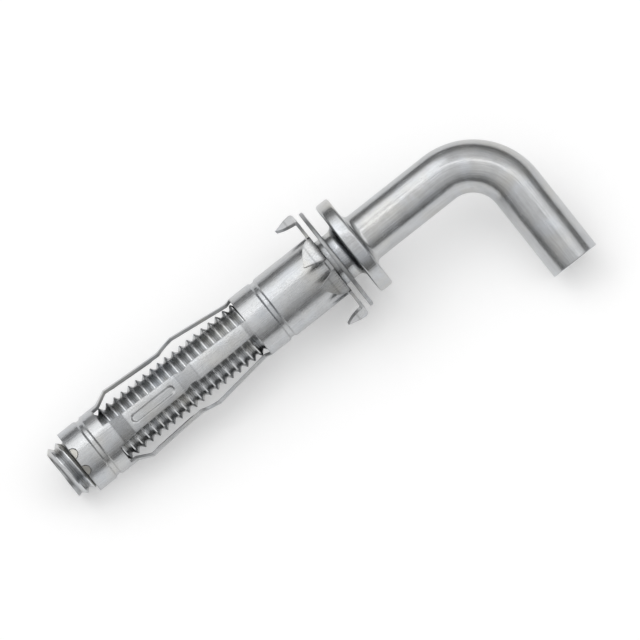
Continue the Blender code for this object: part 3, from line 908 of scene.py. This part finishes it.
nut_skin = bmesh.new()
nut_crest = THREAD_RADIUS + CREST_PLAY
nut_root = THREAD_RADIUS - THREAD_DEPTH + FLANK_SLOPE * THREAD_PLAY
add_thread(nut_skin, nut_crest, nut_root, NUT_BOTTOM, NUT_TOP)
shape_radii(nut_skin, lambda radius, height: max(radius, NUT_BORE))
nut_wall = [
    (NUT_OUTER - NUT_EDGE, NUT_BOTTOM),
    (NUT_OUTER, NUT_BOTTOM + NUT_EDGE),
    (NUT_OUTER, NUT_TOP - NUT_EDGE),
    (NUT_OUTER - NUT_EDGE, NUT_TOP),
]
spin_round(nut_skin, nut_wall)
for height in (NUT_BOTTOM, NUT_TOP):
    bmesh.ops.triangle_fill(nut_skin, edges=rim_at(nut_skin, height), use_beauty=True)
tidy_skin(nut_skin)
print("nut:", len(nut_skin.faces), "faces")

# %% [markdown]
# ## The nut's lugs
# The lugs keep the nut from turning with the screw. Each one is a round peg with its far half cut away by a
# plane, so that it ends just inside the sleeve's end. A union could join its mesh to the ring's, but the
# join is hidden in the sleeve, so the peg only overlaps the ring.

# %% Join the lugs to the nut
LUG_RECESS = 0.1 * MM
LUG_FACETS = 32


def add_lug(bm, angle):
    """A half-round peg that points outwards, with its flat side just inside the sleeve's end."""
    inner, outer = (nut_crest + NUT_OUTER) / 2, SLEEVE_RADIUS - LUG_RECESS
    turn_out = Matrix.Rotation(angle, 4, "Z") @ Matrix.Rotation(math.pi / 2, 4, "Y")
    peg = bmesh.ops.create_cone(
        bm,
        cap_ends=True,
        segments=LUG_FACETS,
        radius1=LUG_RADIUS,
        radius2=LUG_RADIUS,
        depth=outer - inner,
        matrix=Matrix.Translation(polar((inner + outer) / 2, angle, NUT_BOTTOM)) @ turn_out,
    )["verts"]
    edges = list({edge for vert in peg for edge in vert.link_edges})
    faces = list({face for vert in peg for face in vert.link_faces})
    cut = bmesh.ops.bisect_plane(
        bm,
        geom=peg + edges + faces,
        plane_co=(0, 0, NUT_BOTTOM + LUG_RECESS),
        plane_no=(0, 0, -1),
        clear_outer=True,
    )["geom_cut"]
    bmesh.ops.edgenet_fill(bm, edges=[item for item in cut if isinstance(item, bmesh.types.BMEdge)])


for angle in lug_angles:
    add_lug(nut_skin, angle)
bmesh.ops.recalc_face_normals(nut_skin, faces=nut_skin.faces)
print("nut with its lugs:", len(nut_skin.faces), "faces")

# %% [markdown]
# ## The washer
# The washer is stamped out of strip. A punch draws the top edges round and leaves the lower ones nearly
# sharp, so the closed profile has a large radius on one side and a small one on the other.

# %% Turn the washer
WASHER_THICKNESS = 0.7 * MM
WASHER_RADIUS = 9.45 * MM
WASHER_BORE = THREAD_RADIUS + 0.1 * MM
WASHER_TOP = WASHER_GAP + WASHER_THICKNESS
BORE_BURR = 0.06 * MM
RIM_BURR = 0.08 * MM
RIM_DRAW = 0.24 * MM
BORE_DRAW = 0.16 * MM

washer_corners = [
    (WASHER_BORE, WASHER_GAP, BORE_BURR),
    (WASHER_RADIUS, WASHER_GAP, RIM_BURR),
    (WASHER_RADIUS, WASHER_TOP, RIM_DRAW),
    (WASHER_BORE, WASHER_TOP, BORE_DRAW),
]
washer_line = rounded(washer_corners, steps=5)
washer_skin = bmesh.new()
spin_round(washer_skin, washer_line + washer_line[:1])
tidy_skin(washer_skin)
print("washer:", len(washer_skin.faces), "faces")

# %% [markdown]
# ## Bright zinc
# All four pieces are steel with an electroplated coat of bright zinc: a slightly bluish silver, a bit
# cloudy, because the coat is only a few thousandths of a millimetre thick and shows the steel's grain. So
# each finish is one metal whose colour and roughness wander, with fine marks of how that piece was made. A
# Mapping node turns the object's coordinates back upright, so that the patterns follow the anchor's axis.

# %% Start a zinc finish
ANCHOR_TURN = laid.inverted().to_euler()
ANCHOR_SHIFT = laid.inverted().translation


def zinc(name):
    """A metal with nothing on it yet, with its shader and the place of each point along the anchor."""
    material = bpy.data.materials.new(name)
    material.use_nodes = True
    tree = material.node_tree
    shader = tree.nodes["Principled BSDF"]
    shader.inputs["Metallic"].default_value = 1.0
    place = Wire(tree, tree.nodes.new("ShaderNodeTexCoord").outputs["Object"])
    turn = {"Rotation": ANCHOR_TURN, "Location": ANCHOR_SHIFT}
    return material, shader, place.node("ShaderNodeMapping", Vector=place, **turn)


def stretched(place, scale):
    """The place with each axis scaled, which draws a pattern out along the smallest one."""
    return place.node("ShaderNodeVectorMath", settings={"operation": "MULTIPLY"}, in0=place, in1=scale)


def from_axis(place):
    """How far each point lies from the anchor's axis."""
    flat = stretched(place, (1.0, 1.0, 0.0))
    return flat.node("ShaderNodeVectorMath", out=1, settings={"operation": "LENGTH"}, in0=flat)


def height_of(place):
    """How far along the anchor each point lies."""
    return place.node("ShaderNodeSeparateXYZ", out=2, Vector=place)


def layer(place, name, out=2):
    """What a layer of the mesh holds: output 1 of the node is a vector, and 2 is a number."""
    return place.node("ShaderNodeAttribute", out=out, settings={"attribute_name": name})


print("patterns are turned by", [round(math.degrees(turn), 1) for turn in ANCHOR_TURN], "degrees")

# %% [markdown]
# ## Patterns and colours of zinc
# Two kinds of pattern are enough: soft noise for the clouds and the grain, and thin lines for scratches,
# which lie where a stretched noise passes its middle value. Colours are mixed by Mix nodes, because a Math
# node would turn them grey. The relief is about a hundredth of a millimetre and only bends the light.

# %% Make the patterns and mix the colours
DARK_ZINC = (0.30, 0.305, 0.31)
BRIGHT_ZINC = (0.63, 0.64, 0.65)
COOL_STAIN = (0.50, 0.54, 0.60)
WARM_STAIN = (0.57, 0.54, 0.47)
STAIN_STRENGTH = 0.35


def noise(place, scale, detail=3.0, roughness=0.55):
    """Even noise round 0.5, where scale counts its features in a metre."""
    return place.node("ShaderNodeTexNoise", Vector=place, Scale=scale, Detail=detail, Roughness=roughness)


def hairlines(place, scale, width):
    """Thin lines where a stretched noise passes its middle value."""
    off = place.math("ABSOLUTE", noise(place, scale, 1.0) - 0.5)
    return 1 - off.between(0, width)


def mixed(low, high, factor):
    """A colour between two, by a factor. Each is a colour's numbers or a wire."""
    low, high = ((*shade, 1) if isinstance(shade, tuple) else shade for shade in (low, high))
    return factor.node("ShaderNodeMix", out=2, settings={"data_type": "RGBA"}, in0=factor, in6=low, in7=high)


def zinc_color(place, tone):
    """Dark to bright zinc by a tone, with faint cool and warm stains of the bath that passivated it."""
    plain = mixed(DARK_ZINC, BRIGHT_ZINC, tone.clamped())
    cool = STAIN_STRENGTH * noise(place, 210.0).between(0.5, 0.75)
    warm = STAIN_STRENGTH * (1 - noise(place, 150.0).between(0.27, 0.5))
    return mixed(mixed(plain, COOL_STAIN, cool), WARM_STAIN, warm)


def connect(shader, color, roughness, height, depth):
    """Colour and roughness into the shader, and a height in 0..1 as relief of a depth in metres."""
    links = color.tree.links
    links.new(color.socket, shader.inputs["Base Color"])
    links.new(roughness.socket, shader.inputs["Roughness"])
    relief = height.node("ShaderNodeBump", Height=height, Strength=1.0, Distance=depth)
    links.new(relief.socket, shader.inputs["Normal"])


print("the stains cover up to", round(100 * STAIN_STRENGTH), "percent of the zinc's own colour")

# %% [markdown]
# ## Drawn and rolled rod
# The hook shows lines along the drawn rod. Where the thread was rolled, its crests are burnished smoother
# and painted brighter as painted highlight, while the roots are rougher and painted darker as painted shade.
# A radius tells crest from root, and the straight rod's own place makes the lines follow the bend.

# %% The hook's finish
hook_finish, shader, place = zinc("drawn_rod_zinc")
rod = layer(place, "straight_rod", out=1)
radius = from_axis(rod)
along = height_of(rod)
cloud = noise(rod, 420.0, 4.0, 0.6)
grain = noise(stretched(rod, (1.0, 1.0, 0.035)), 5200.0, 3.0, 0.6)
speck = noise(rod, 6500.0, 2.0)
threaded = 1 - along.between(THREAD_TOP - 0.2 * MM, THREAD_TOP + 0.2 * MM)
# painted shade in the thread's roots, which are also rougher
root = threaded * (1 - radius.between(THREAD_RADIUS - THREAD_DEPTH, THREAD_RADIUS - 0.35 * MM))
# painted highlight on the thread's crests, which are also smoother
crest = threaded * radius.between(THREAD_RADIUS - 0.2 * MM, THREAD_RADIUS)
plain = 1 - threaded
scratch = hairlines(stretched(rod, (1.0, 1.0, 0.02)), 2600.0, 0.01)
tone = (0.35 * cloud + 0.4 * grain + 0.25 * speck - 0.5) * 1.8 + 0.6 - 0.6 * root + 0.2 * crest
tone = tone - 0.12 * plain * scratch
gloss = 0.23 + 0.16 * (cloud - 0.5) + 0.16 * (grain - 0.5) + 0.14 * root - 0.05 * crest
relief = plain * (0.8 * grain - 0.15 * scratch) + 0.3 * speck
connect(shader, zinc_color(rod, tone), gloss, relief, depth=0.014 * MM)
print("the hook's finish has", len(hook_finish.node_tree.nodes), "nodes")

# %% [markdown]
# ## Pressed sheet
# The strip was rolled before it was pressed, and its fine lines still run along the sleeve. The two knees
# stand out the farthest, so they are rubbed smooth. Lines of painted shade at the bends are darker, and so
# are the sheared edges, which are also rougher. Both come from layers of the mesh. The inside of the tube is
# painted darker as painted shade, and is rougher.

# %% The sleeve's finish
sleeve_finish, shader, place = zinc("pressed_sheet_zinc")
radius = from_axis(place)
height = height_of(place)
cloud = noise(place, 380.0, 4.0, 0.6)
rolled = noise(stretched(place, (1.0, 1.0, 0.05)), 4300.0, 3.0, 0.6)
speck = noise(place, 6000.0, 2.0)
# painted shade: the inside of the tube is darker, and it is also rougher
inside = 1 - radius.between(SLEEVE_BORE - 0.05 * MM, SLEEVE_BORE + 0.15 * MM)
knees = radius.between(SLEEVE_RADIUS + 0.6 * MM, SLEEVE_RADIUS + KNEE_RISE)
knees = knees * (1 - height.between(-30 * MM, -20 * MM))
scratch = hairlines(stretched(place, (1.0, 0.3, 0.08)), 1500.0, 0.008)
# painted shade along the bead's walls, the grooves, the knees and the claws' creases
painted_shade = layer(place, "press_shade")
# the sheared rims: rougher, and darkened with painted shade
cut_edge_and_shade = layer(place, "sheared_and_shaded")
tone = (0.4 * cloud + 0.35 * rolled + 0.25 * speck - 0.5) * 1.7 + 0.6 - 0.5 * inside + 0.12 * knees
tone = tone - 0.15 * scratch - 0.45 * painted_shade - 0.45 * cut_edge_and_shade
gloss = 0.27 + 0.16 * (cloud - 0.5) + 0.12 * (rolled - 0.5) + 0.15 * inside - 0.06 * knees + 0.08 * scratch
gloss = gloss + 0.1 * cut_edge_and_shade
relief = 0.6 * rolled + 0.25 * speck - 0.3 * scratch
connect(shader, zinc_color(place, tone), gloss, relief, depth=0.014 * MM)
print("the sleeve's finish has", len(sleeve_finish.node_tree.nodes), "nodes")

# %% [markdown]
# ## Tumbled washer
# Washers are tumbled to take off their burrs, which leaves short scratches in all directions. The sheared
# rim is rougher than the faces and is painted darker as painted shade. On a turned piece the radius alone is
# enough to find it.

# %% The washer's finish
washer_finish, shader, place = zinc("tumbled_zinc")
cloud = noise(place, 500.0, 3.0)
speck = noise(place, 7000.0, 2.0)
marks = hairlines(stretched(place, (1.0, 0.12, 1.0)), 1400.0, 0.012)
marks = marks + hairlines(stretched(place, (0.12, 1.0, 1.0)), 1300.0, 0.012)
# the sheared rim: rougher, and darkened with painted shade
cut_edge_and_shade = from_axis(place).between(WASHER_RADIUS - 0.15 * MM, WASHER_RADIUS - 0.03 * MM)
tone = (0.6 * cloud + 0.4 * speck - 0.5) * 2.0 + 0.55 - 0.22 * marks - 0.45 * cut_edge_and_shade
gloss = 0.27 + 0.16 * (cloud - 0.5) + 0.1 * marks + 0.1 * cut_edge_and_shade
connect(shader, zinc_color(place, tone), gloss, 0.4 * speck - 0.4 * marks, depth=0.012 * MM)
print("the washer's finish has", len(washer_finish.node_tree.nodes), "nodes")

# %% [markdown]
# ## Dull nut
# The nut is plated thinly and has turned a little yellow. It is cloudier and rougher than the other pieces,
# which also keeps its end apart from the bright screw inside it.

# %% The nut's finish
DULL_YELLOW = (0.44, 0.42, 0.36)

nut_finish, shader, place = zinc("thin_zinc")
cloud = noise(place, 700.0, 4.0, 0.6)
speck = noise(place, 8000.0, 2.0)
tone = (0.6 * cloud + 0.4 * speck - 0.5) * 2.4 + 0.5
gloss = 0.38 + 0.2 * (cloud - 0.5)
yellowed = mixed(zinc_color(place, tone), DULL_YELLOW, 0.4 + 0.3 * cloud)
connect(shader, yellowed, gloss, speck, depth=0.01 * MM)
print("finishes:", [finish.name for finish in (hook_finish, sleeve_finish, washer_finish, nut_finish)])

# %% [markdown]
# ## Lay the pieces down
# Each piece goes where its plain solid is and rides on its body: the nut is held in the sleeve, and the
# washer and the hook move on their own. A small bevel on the sleeve breaks its stamped edges.

# %% Place the pieces
EDGE_BREAK = 0.05 * MM
EDGE_ANGLE = math.radians(55)  # a bend is flatter and isn't broken

place_piece("hook_screw", hook_skin, "hook", "hook", hook_finish)
place_piece("stamped_washer", washer_skin, "washer", "washer", washer_finish)
place_piece("threaded_nut", nut_skin, "nut", "sleeve", nut_finish)
sleeve = place_piece("pressed_sleeve", sheet, "sleeve", "sleeve", sleeve_finish)
edges = sleeve.modifiers.new("edges", "BEVEL")
edges.width = EDGE_BREAK
edges.segments = 2
edges.limit_method = "ANGLE"
edges.angle_limit = EDGE_ANGLE
edges.use_clamp_overlap = False
edges.harden_normals = True

# %% [markdown]
# ## The sky
# Metal shows its surroundings more than its own colour. So the sky is bright overhead and dark towards the
# horizon, which puts a dark line beside each bright one. A ramp over the height of the way that a ray goes
# paints it. Below the horizon it is plain white, like the paper that the anchor lies on.

# %% Paint the sky
SKY = [(0.0, 0.10), (0.3, 0.26), (0.6, 0.62), (1.0, 1.0)]  # height and brightness
WHITE = (1.0, 1.0, 1.0)

world = bpy.data.worlds.new("studio")
bpy.context.scene.world = world
world.use_nodes = True
background = world.node_tree.nodes["Background"]
way = Wire(world.node_tree, world.node_tree.nodes.new("ShaderNodeTexCoord").outputs["Generated"])
rise = way.node("ShaderNodeSeparateXYZ", out=2, Vector=way)
sky = rise.node("ShaderNodeValToRGB", Fac=rise, ramp=SKY)
above = rise.math("GREATER_THAN", rise, 0.0)
world.node_tree.links.new(mixed(WHITE, sky, above).socket, background.inputs["Color"])
print("sky:", SKY[0][1], "at the horizon and", SKY[-1][1], "overhead")

# %% [markdown]
# ## The floor
# The floor is white paper, a hair below the anchor, so that the two never share a plane. For rays from the
# camera, and for those that a metal reflects, it glows a little and stays white. The other rays see plain
# paper, so the glow puts no light on the anchor, and the anchor still casts its shadow.

# %% Lay the floor
FLOOR_HALF = 1.5
FLOOR_DROP = 0.02 * MM
FLOOR_GLOW = (0.3, 0.3, 0.3)
BLACK = (0.0, 0.0, 0.0)

stage = bmesh.new()
drop = Matrix.Translation((0, 0, -FLOOR_DROP))
bmesh.ops.create_grid(stage, x_segments=1, y_segments=1, size=FLOOR_HALF, matrix=drop)
floor_mesh = bpy.data.meshes.new("floor")
stage.to_mesh(floor_mesh)
stage.free()
floor = bpy.data.objects.new("floor", floor_mesh)
bpy.context.scene.collection.objects.link(floor)

paper = bpy.data.materials.new("white_paper")
paper.use_nodes = True
floor_mesh.materials.append(paper)
paper_shader = paper.node_tree.nodes["Principled BSDF"]
paper_shader.inputs["Base Color"].default_value = (0.85, 0.85, 0.85, 1.0)
paper_shader.inputs["Roughness"].default_value = 0.9
paper_shader.inputs["Emission Strength"].default_value = 1.0
rays = paper.node_tree.nodes.new("ShaderNodeLightPath")
seen = Wire(paper.node_tree, rays.outputs["Is Camera Ray"])
seen = seen + Wire(paper.node_tree, rays.outputs["Is Glossy Ray"])
seen = (seen + Wire(paper.node_tree, rays.outputs["Is Transmission Ray"])).clamped()
glow = mixed(BLACK, FLOOR_GLOW, seen)
paper.node_tree.links.new(glow.socket, paper_shader.inputs["Emission Color"])
print("the floor is", 2 * FLOOR_HALF, "m wide")

# %% [markdown]
# ## The lamps
# Large soft lamps fill what the sky leaves dark. None is much brighter than white, or the bright side of
# each piece would be lost. An area lamp's power is spread over its size, so each one is given by the
# brightness that a reflection of it should have.

# %% Hang the lamps
def add_lamp(name, way, distance, width, height, radiance):
    """A soft lamp of an even radiance that shines at the anchor from a direction."""
    light = bpy.data.lights.new(name, "AREA")
    light.shape = "RECTANGLE"
    light.size = width
    light.size_y = height
    light.energy = radiance * 4 * width * height
    lamp = bpy.data.objects.new(name, light)
    lamp.location = Vector(way).normalized() * distance
    lamp.rotation_euler = Vector(way).to_track_quat("Z", "Y").to_euler()
    bpy.context.scene.collection.objects.link(lamp)
    return lamp


add_lamp("key", (-0.35, 0.62, 0.95), distance=0.7, width=0.7, height=0.4, radiance=0.65)
add_lamp("fill", (0.7, -0.5, 0.8), distance=0.8, width=0.5, height=0.5, radiance=0.4)
add_lamp("strip", (0.1, 0.12, 1.0), distance=0.7, width=0.8, height=0.05, radiance=1.6)

# %% [markdown]
# ## Camera
# The drawing looks straight at the plane in which the hook is bent, without perspective. So the camera is
# orthographic and looks along the one direction of the anchor that is square to both its axis and its leg.
# The axis runs up to the right in the picture.

# %% Point the camera
PIXELS = 640
SLEEVE_PIXELS = 321
PIXELS_PER_METRE = SLEEVE_PIXELS / SLEEVE_LENGTH
AXIS_SLOPE = math.radians(38.35)
FLANGE_PIXEL = (330.46, 263.59)  # where the axis meets the flange's room face
CAMERA_DISTANCE = 0.5

side_way = axis * math.cos(AXIS_SLOPE) + leg_way * math.sin(AXIS_SLOPE)
up_way = axis * math.sin(AXIS_SLOPE) - leg_way * math.cos(AXIS_SLOPE)
view_way = side_way.cross(up_way)
shift_right = (FLANGE_PIXEL[0] - PIXELS / 2) / PIXELS_PER_METRE
shift_up = (PIXELS / 2 - FLANGE_PIXEL[1]) / PIXELS_PER_METRE
aim = laid.translation - side_way * shift_right - up_way * shift_up

camera_data = bpy.data.cameras.new("square_on")
camera_data.type = "ORTHO"
camera_data.ortho_scale = PIXELS / PIXELS_PER_METRE
camera = bpy.data.objects.new("square_on", camera_data)
camera.matrix_world = Matrix((side_way, up_way, view_way)).transposed().to_4x4()
camera.location = aim + view_way * CAMERA_DISTANCE
bpy.context.scene.collection.objects.link(camera)
bpy.context.scene.camera = camera
bpy.context.scene.view_settings.view_transform = "Standard"
print("the camera stands", round(math.degrees(math.asin(view_way.z)), 1), "degrees above the floor")
